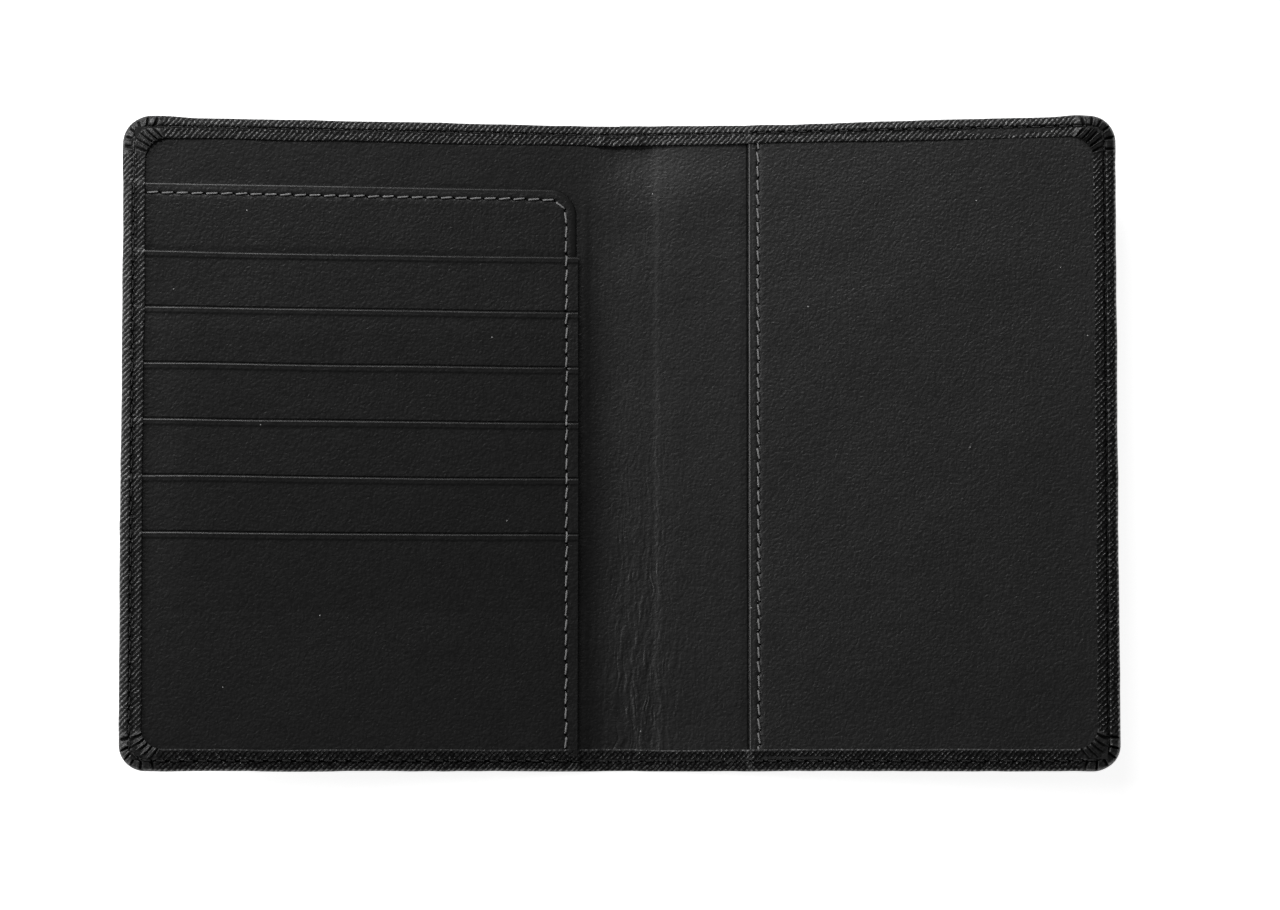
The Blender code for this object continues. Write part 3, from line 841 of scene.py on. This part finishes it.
def hem_sections(side):
    """Rings of flat places across the hem, one row for each sample round the edge."""
    outer, normal, inner, corner, run = (samples[:, None] for samples in half_perimeter(side))
    u, y = outer[..., 0], outer[..., 1]
    at_head = y > HALF_HEIGHT - CORNER_R
    ear = EAR * hump(OUTER_U - 8.5 - np.abs(u), 4.5) * at_head
    hollow = -0.42 * hump(side * u - 38, 20) * at_head if side == PASSPORT else 0.0
    bulge = ear + hollow + 0.1 * noise(run / 14.0, side * 2.0, 93)
    bulge = (bulge + 0.05 * noise(run / 3.5, side * 5.0, 94))[..., None]
    slack = 0.16 * noise(run / 12.0, side * 7.0, 95)[..., None]
    kink = hump(np.abs(u) - 4.0, 2.2) * (np.abs(y) > HALF_HEIGHT - 1)
    sewn = outer - normal * HEM_STITCH

    def at(v):
        """Flat places at distance v in from the edge, parallel to it up to the seam."""
        v = np.asarray(v, float)[None, :, None]
        edge = outer + normal * (bulge * np.clip(1 - v / HEM_STITCH, 0, 1) - v)
        past_seam = (v - HEM_STITCH) / (HEM - HEM_STITCH)
        ragged = normal * slack * np.clip(past_seam, 0, 1)
        return np.where(v <= HEM_STITCH, edge, sewn + (inner - sewn) * past_seam + ragged)

    def raised(places, height):
        return np.concatenate([places, height[..., None]], axis=-1)

    top_v = [0.0, 0.04, 0.12, 0.24, 0.4, 0.6, 0.85, 1.1, 1.35, 1.55, 1.72, 1.86, 1.98, 2.1, 2.2]
    top_v += [2.3, 2.4, 2.5, 2.62, 2.74, 2.88, 3.05, 3.3, 3.6, 3.9, 4.12, 4.26, 4.3, 4.44, 4.58]
    top_v = np.array(top_v + [4.62, 4.66, 4.69, 4.7])
    places = at(top_v)
    uu, yy = places[..., 0], places[..., 1]
    rest = under_hem(uu, yy)
    seam = list(top_v).index(HEM_STITCH)
    rest_seam = rest[:, seam : seam + 1]
    v = top_v[None, :]
    level = np.where(v < HEM_STITCH, rest_seam, rest) + HEM_T
    level = level + 0.22 * kink * noise(run / 1.9, 1.0, 96)
    phase = np.abs((run / HEM_PITCH + 0.5) % 1 - 0.5) * HEM_PITCH
    channel = -0.42 * hump(v - HEM_STITCH, 0.22) - 0.08 * hump(v - HEM_STITCH, 0.5)
    channel = channel - 0.06 * hump(v - HEM_STITCH, 0.3) * hump(phase, 0.5)
    at_foot = smooth((-y - HALF_HEIGHT + 8) / 6)
    at_side = smooth((np.abs(u) - OUTER_U + 6) / 4)
    at_side = at_side * (FALL_AT_LEFT if side == CARD else FALL_AT_RIGHT)
    fall = -(HEM_FALL + FALL_AT_FOOT * at_foot + at_side) * (1 - v / HEM)
    fall = fall - 0.25 * (1 - smooth(v / 2.0))
    puff = 0.04 * hump(v - 1.3, 0.7) + 0.03 * hump(v - 3.4, 0.8)
    waves = 0.05 * noise(run / 2.4, v / 1.8 + side * 9, 97)
    in_corner = smooth(corner / 0.15) * smooth((1 - corner) / 0.15) * (corner >= 0)
    head_run = smooth((y - HALF_HEIGHT + 8) / 6) * (1 - in_corner)
    fall = fall - HEAD_SKIVE * head_run
    outer_part = smooth((2.3 - v) / 0.3) * smooth((v - 0.05) / 0.7)
    inner_part = smooth((v - 2.35) / 0.3)
    outside, slits_out = pleats(corner, uu, yy, 7.0, -0.1 * v)
    inside, slits_in = pleats(corner, uu, yy, 6.0, 0.45 + 0.12 * v)
    height = level + channel + fall + puff + waves + 0.85 * outside * outer_part + inside * inner_part
    slit_and_channel_shade = slits_out * outer_part + slits_in * inner_part
    # Painted shade along the stitch channel, joined to that of the slit between folds.
    slit_and_channel_shade = np.maximum(slit_and_channel_shade, 1.35 * hump(v - HEM_STITCH, 0.11) - 0.7)
    folded_in = FOLD_IN_H + (rest + HEM_GAP - FOLD_IN_H) * np.clip((v - 1.3) / 1.3, 0, 1)
    underside = np.where(v > 2.6, rest + HEM_GAP, folded_in)
    height = np.maximum(height, underside + 0.05)
    half = height * 0.5
    height = half + (height - half) * rolled(v, HEM_EDGE_R)
    height = height - (0.04 + 0.18 * at_foot) * np.clip((v - HEM + 0.42) / 0.42, 0, 1)
    height = rest + 0.2 + (height - rest - 0.2) * rolled(HEM - v, 0.12)
    upper = raised(places, height)

    under_v = [0.06, 0.2, 0.42, 0.7, 1.05, 1.45, 1.8, 2.0, 2.15, 2.3, 2.45, 2.6, 2.8, 3.3, 4.9]
    under_v = np.array(under_v)
    across = under_v[None, :, None]
    out = outer + normal * (bulge * np.clip(1 - across / 2, 0, 1) - across)
    middle = height[:, :1]
    tuck = 1 - rolled(under_v[None, :], 1.5)
    beside_seam = under_v[None, :] - HEM_STITCH
    sunk = 0.3 * hump(beside_seam, 0.28)
    sunk = sunk + 0.08 * hump(beside_seam, 0.4) * hump(phase, 0.5)
    lower = raised(out, middle * tuck + sunk)[:, ::-1]

    in_places = at([4.4, 2.6, 1.3])
    in_h = under_hem(in_places[..., 0], in_places[..., 1]) + HEM_GAP
    in_h[:, -1] = FOLD_IN_H
    under_lip = raised(in_places, in_h)
    wall_v = np.array([0.95, 0.95, 1.3, 4.9])
    wall_places = outer - normal * wall_v[None, :, None]
    wall_h = np.broadcast_to(np.array([FOLD_IN_H, 0.9, SKIN, SKIN]), wall_places.shape[:2])
    wall = raised(wall_places, wall_h)
    rings = np.concatenate([lower, upper, under_lip, wall], axis=1)

    gathered_and_slit_shade = np.repeat(in_corner, rings.shape[1], 1)
    pressed_lip = 0.8 * at_foot * smooth((v - HEM + 0.6) / 0.25)
    on_top = slice(lower.shape[1], lower.shape[1] + upper.shape[1])
    smoothed = np.maximum(in_corner, pressed_lip)
    # Each slit and the channel get 2 here, which the finish turns into painted shade.
    gathered_and_slit_shade[:, on_top] = smoothed * (1 - slit_and_channel_shade) + 2 * np.clip(slit_and_channel_shade, 0, 1)
    return rings, gathered_and_slit_shade


def add_outer_leather(side, name):
    """The skin of one half: hem, rounded edge and base, closed at the middle of the spine."""
    rings, gathered_and_slit_shade = hem_sections(side)
    rows, cols, _ = rings.shape
    flat = rings.reshape(-1, 3)
    faces = grid_faces(rows, cols, flip=side == PASSPORT)
    index = np.arange(rows * cols).reshape(rows, cols)
    first, last = index[:, 0], index[:, -1]
    bending = int(np.searchsorted(np.abs(rings[: rows // 2, 0, 0]), FOLD_X + BEND + 1.5))
    for line, up in ((first, side == PASSPORT), (last, side == CARD)):
        strips = [[line[i], line[i + 1], line[rows - 2 - i], line[rows - 1 - i]] for i in range(bending)]
        strips.append(list(line[bending : rows - bending]))
        faces += [[int(v) for v in (reversed(f) if not up else f)] for f in strips]
    middle = [index[0, 0], index[0, -1], index[-1, -1], index[-1, 0]]
    for end in (index[0], index[-1, ::-1], middle):
        faces.append([int(v) for v in (end if side == PASSPORT else end[::-1])])
    skin = make_object(name, flat, faces, HATCHED, pattern=("gathered_and_slit_shade", gathered_and_slit_shade))
    blend_half(skin, side)
    return skin


# ---- Stitches ----


def tube_rings(points, radius, turns, sides=8):
    """Rings round a line of points (n, 3), flattened a little and twisted like two plies."""
    points = np.asarray(points, float)
    ahead = np.gradient(points, axis=0)
    ahead /= np.linalg.norm(ahead, axis=1, keepdims=True)
    up = np.array([0, 0, 1.0])
    left = np.cross(up, ahead)
    left /= np.linalg.norm(left, axis=1, keepdims=True)
    over = np.cross(ahead, left)
    angle = np.linspace(0, 2 * math.pi, sides, endpoint=False)
    along = np.linspace(0, 1, len(points))[:, None]
    ply = 1 + 0.14 * np.cos(2 * (angle - 2 * math.pi * turns * along))
    size = radius * ply * (0.85 + 0.15 * np.sin(math.pi * along) ** 0.5)
    ring = np.cos(angle)[..., None] * left[:, None, :]
    ring = ring + np.sin(angle)[..., None] * over[:, None, :] * 0.9
    return points[:, None, :] + ring * size[..., None]


class Threads:
    """Collects stitches and makes them into one object."""

    def __init__(self):
        self.flat, self.faces, self.buried, self.count = [], [], [], 0

    def tube(self, points, radius, turns=2.0, sides=8, buried=None):
        rings = tube_rings(points, radius, turns, sides)
        rows, cols, _ = rings.shape
        self.faces += grid_faces(rows, cols, start=self.count, wrap=True)
        self.faces.append(list(range(self.count + cols - 1, self.count - 1, -1)))
        last = self.count + (rows - 1) * cols
        self.faces.append(list(range(last, last + cols)))
        self.flat.append(rings.reshape(-1, 3))
        self.buried.append(np.repeat(np.zeros(rows) if buried is None else buried, cols))
        self.count += rows * cols

    def stitch(self, start, end, surface, radius, rng, slant=0.1, up=1, dive=0.45):
        """One stitch between two needle holes, lying on surface(u, y) and diving at both ends."""
        start, end = np.array(start, float), np.array(end, float)
        way = (end - start) / np.linalg.norm(end - start)
        off = np.array([-way[1], way[0]])
        lean = slant * (1 + 0.5 * rng.uniform(-1, 1))
        t = np.array([0, 0.05, 0.1, 0.15, 0.2, 0.3, 0.42, 0.58, 0.7, 0.8, 0.85, 0.9, 0.95, 1])
        line = start + (end - start) * t[:, None]
        line = line + off * (lean * (1 - 2 * t) + 0.04 * rng.uniform(-1, 1))[:, None]
        held = surface(line[:, 0], line[:, 1])
        crown = np.sin(math.pi * t) ** 0.45
        height = held + up * (radius * 0.55 + (dive + radius * 0.4) * (crown - 1) + 0.05 * crown)
        # Painted shade towards both ends, where the thread goes into its needle hole.
        buried = 1 - smooth((np.minimum(t, 1 - t) - 0.09) / 0.09)
        turns = 1.6 + 0.4 * rng.uniform(-1, 1)
        self.tube(np.column_stack([line, height]), radius, turns, buried=buried)

    def grey_stitch(self, a, b, surface, rng, slant, chance, fibre):
        """A grey stitch from a to b, and by that chance a loose fibre at its end."""
        gap = (b - a) * 0.02
        self.stitch(a + gap, b - gap, surface, GREY_R, rng, slant, dive=0.06)
        if chance and rng.random() < chance:
            self.fray(b + rng.uniform(-0.1, 0.1, 2), surface(b[:1], b[1:])[0], rng, fibre)

    def fray(self, place, height, rng, length):
        """A short loose fibre standing out of a needle hole."""
        angle = rng.uniform(0, 2 * math.pi)
        t = np.linspace(0, 1, 5)
        bow = rng.uniform(-0.25, 0.25)
        du = length * (t * math.cos(angle) - bow * t * (1 - t) * math.sin(angle))
        dy = length * (t * math.sin(angle) + bow * t * (1 - t) * math.cos(angle))
        lift = height + 0.05 + 0.22 * np.sin(math.pi * t * 0.8)
        self.tube(np.column_stack([place[0] + du, place[1] + dy, lift]), FRAY_R, turns=0, sides=5)

    def make(self, name, finish):
        buried = ("buried", np.concatenate(self.buried))
        return make_object(name, np.concatenate(self.flat), self.faces, finish, 80, buried)


SHORTEST = 0.6  # no stitch is shorter


def walk(path, pitch):
    """Needle holes a pitch apart along a route of places, and one at its end."""
    path = np.asarray(path, float)
    run = np.concatenate([[0], np.cumsum(np.hypot(*np.diff(path, axis=0).T))])
    stops = np.append(np.arange(0, run[-1] - SHORTEST, pitch), run[-1])
    return np.stack([np.interp(stops, run, path[:, 0]), np.interp(stops, run, path[:, 1])], 1)


def add_panel_stitches():
    rng = np.random.default_rng(7)
    r = PANEL_CORNER_R - PANEL_STITCH
    side_u, top_y = -PANEL_U - PANEL_STITCH, PANEL_TOP - PANEL_STITCH
    turn = np.linspace(0, math.pi / 2, 24)
    corner = np.stack([side_u - r + r * np.sin(turn), top_y - r + r * np.cos(turn)], 1)
    route = np.concatenate([[(LEFT_END, top_y)], corner, [(side_u, -(HALF_HEIGHT - HEM + SEAM_TUCK))]])
    holes = walk(route, STITCH_PITCH)
    threads = Threads()
    for a, b in zip(holes[:-1], holes[1:]):
        slant, chance = (0.17, 0.55) if a[1] < top_y - r else (-0.14, 0)
        threads.grey_stitch(a, b, card_side_top, rng, slant, chance, 0.45)
    obj = threads.make("card_panel_grey_stitches", GREY_THREAD)
    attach(obj, "card_cover")
    return obj


def add_sleeve_stitches():
    rng = np.random.default_rng(8)
    u = SLEEVE_U + SLEEVE_STITCH
    holes = walk([(u, HALF_HEIGHT), (u, -HALF_HEIGHT)], SLEEVE_PITCH)
    under_the_hem = HALF_HEIGHT - HEM + SEAM_TUCK
    holes[:, 1] = np.clip(holes[:, 1], -under_the_hem, under_the_hem)
    threads = Threads()
    for a, b in zip(holes[:-1], holes[1:]):
        if a[1] - b[1] >= SHORTEST:
            threads.grey_stitch(a, b, sleeve_top, rng, -0.2, 0.4, 0.4)
    obj = threads.make("passport_sleeve_grey_stitches", GREY_THREAD)
    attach(obj, "passport_cover")
    return obj


def add_hem_stitches(side, name, below):
    """Black stitches sunk in the hem's channel, or in the matching channel on the outside."""
    rng = np.random.default_rng(9 + side + 4 * below)
    outer, normal, _, _, _ = half_perimeter(side)
    holes = walk(outer - normal * HEM_STITCH, HEM_PITCH * 0.985)
    threads = Threads()

    def inside_face(u, y):
        return under_hem(u, y) + HEM_T - HEM_FALL * (1 - HEM_STITCH / HEM) - 0.36

    def outside_face(u, y):
        return np.full(np.shape(u), 0.3)

    surface = outside_face if below else inside_face
    for a, b in zip(holes[:-1], holes[1:]):
        gap = (b - a) * 0.1
        threads.stitch(a + gap, b - gap, surface, BLACK_R, rng, 0.05, up=-1 if below else 1, dive=0.25)
    obj = threads.make(name, BLACK_THREAD)
    blend_half(obj, side)
    return obj


# ---- Build ----


def declare(piece, slot, *nodes):
    if nodes:
        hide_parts(*nodes)


def piece(name):
    return bpy.data.objects[name]


covers = {CARD: "card_cover", PASSPORT: "passport_cover"}
spine_rows = {CARD: "top", PASSPORT: "bottom"}  # the spine's row that each half's thread stands for
for side, cover in covers.items():
    skin = add_outer_leather(side, f"{cover}_outer_leather")
    declare(skin, "outer_leather", f"{cover}_leather", "spine_leather")
    lining = add_lining(side, f"{cover}_lining_sheet")
    declare(lining, "nappa_leather", f"{cover}_lining", "spine_lining")
    seam = add_hem_stitches(side, f"{cover}_hem_stitches", below=False)
    declare(seam, "black_thread", f"{cover}_hem_stitching", f"spine_stitching_{spine_rows[side]}")
    back_seam = add_hem_stitches(side, f"{cover}_outside_stitches", below=True)
    declare(back_seam, "black_thread")

declare(add_panel(), "nappa_leather", "card_panel")
add_pockets()
for k in range(1, POCKETS + 1):
    declare(piece(f"card_pocket_front_{k}"), "nappa_leather", f"card_pocket_{k}")
add_tails()
for k in range(1, POCKETS):
    declare(piece(f"card_pocket_tail_{k}"), "lining_fabric", f"pocket_tail_{k}")
declare(add_interlining(), "lining_fabric", "spine_interlining")
declare(add_sleeve(), "nappa_leather", "passport_sleeve")
declare(add_panel_stitches(), "grey_thread", "card_panel_stitching")
declare(add_sleeve_stitches(), "grey_thread", "passport_sleeve_stitching")


for name, node in frame["nodes"].items():
    for word, finish in {"stiffener": BOARD, "backing": WOVEN}.items():
        if word in name:
            node.data.materials.clear()
            node.data.materials.append(finish)

# ---- Floor, light and camera ----

R = 3  # half the floor's width, in metres
floor_mesh = bpy.data.meshes.new("floor")
floor_mesh.from_pydata([(-R, -R, 0), (R, -R, 0), (R, R, 0), (-R, R, 0)], [], [(0, 1, 2, 3)])
floor_mesh.materials.append(pale_floor())
new_object("floor", floor_mesh)

WALL_LIGHT = 0.1  # pale walls all round, and a dark ceiling over the holder
CEILING_LIGHT = 0.06
WALLS_START, WALLS_FULL = 42, 58  # degrees from straight up


def add_light(name, place, size, power):
    """A soft lamp that faces the holder, with its size in metres and its power in watts."""
    data = bpy.data.lights.new(name, "AREA")
    data.shape = "RECTANGLE"
    data.size, data.size_y = size
    data.energy = power
    lamp = new_object(name, data)
    lamp.location = place
    lamp.rotation_euler = (-Vector(place)).to_track_quat("-Z", "Y").to_euler()


add_light("key", (-0.18, 0.54, 0.44), (0.45, 0.22), 4.1)
add_light("left", (-0.75, 0.12, 0.38), (0.25, 0.4), 3.7)

world = bpy.data.worlds.new("studio")
bpy.context.scene.world = world
world.use_nodes = True
sky = world.node_tree
background = sky.nodes["Background"]
background.inputs["Color"].default_value = (1, 1, 1, 1)
direction = sky.nodes.new("ShaderNodeTexCoord")
upward = sky.nodes.new("ShaderNodeSeparateXYZ")
full, start = math.cos(math.radians(WALLS_FULL)), math.cos(math.radians(WALLS_START))
walls = smooth_ramp(sky, full, start, WALL_LIGHT, CEILING_LIGHT)
sky.links.new(direction.outputs["Generated"], upward.inputs[0])
sky.links.new(upward.outputs["Z"], walls.inputs["Value"])
sky.links.new(walls.outputs["Result"], background.inputs["Strength"])
bpy.context.scene.view_settings.view_transform = "Standard"

CAMERA_DISTANCE = 0.92
CAMERA_ELEVATION = math.radians(85.8)
FRAME_WIDTH = 0.2758  # how much the picture's width takes in, at that distance
SENSOR = 36
AIM = Vector((0.0044, -0.002, 0.004))
camera_data = bpy.data.cameras.new("camera")
camera_data.sensor_width = SENSOR
camera_data.lens = SENSOR * CAMERA_DISTANCE / FRAME_WIDTH
camera = new_object("camera", camera_data)
way = Vector((0, -math.cos(CAMERA_ELEVATION), math.sin(CAMERA_ELEVATION)))
camera.location = AIM + way * CAMERA_DISTANCE
camera.rotation_euler = (math.pi / 2 - CAMERA_ELEVATION, 0, 0)
bpy.context.scene.camera = camera
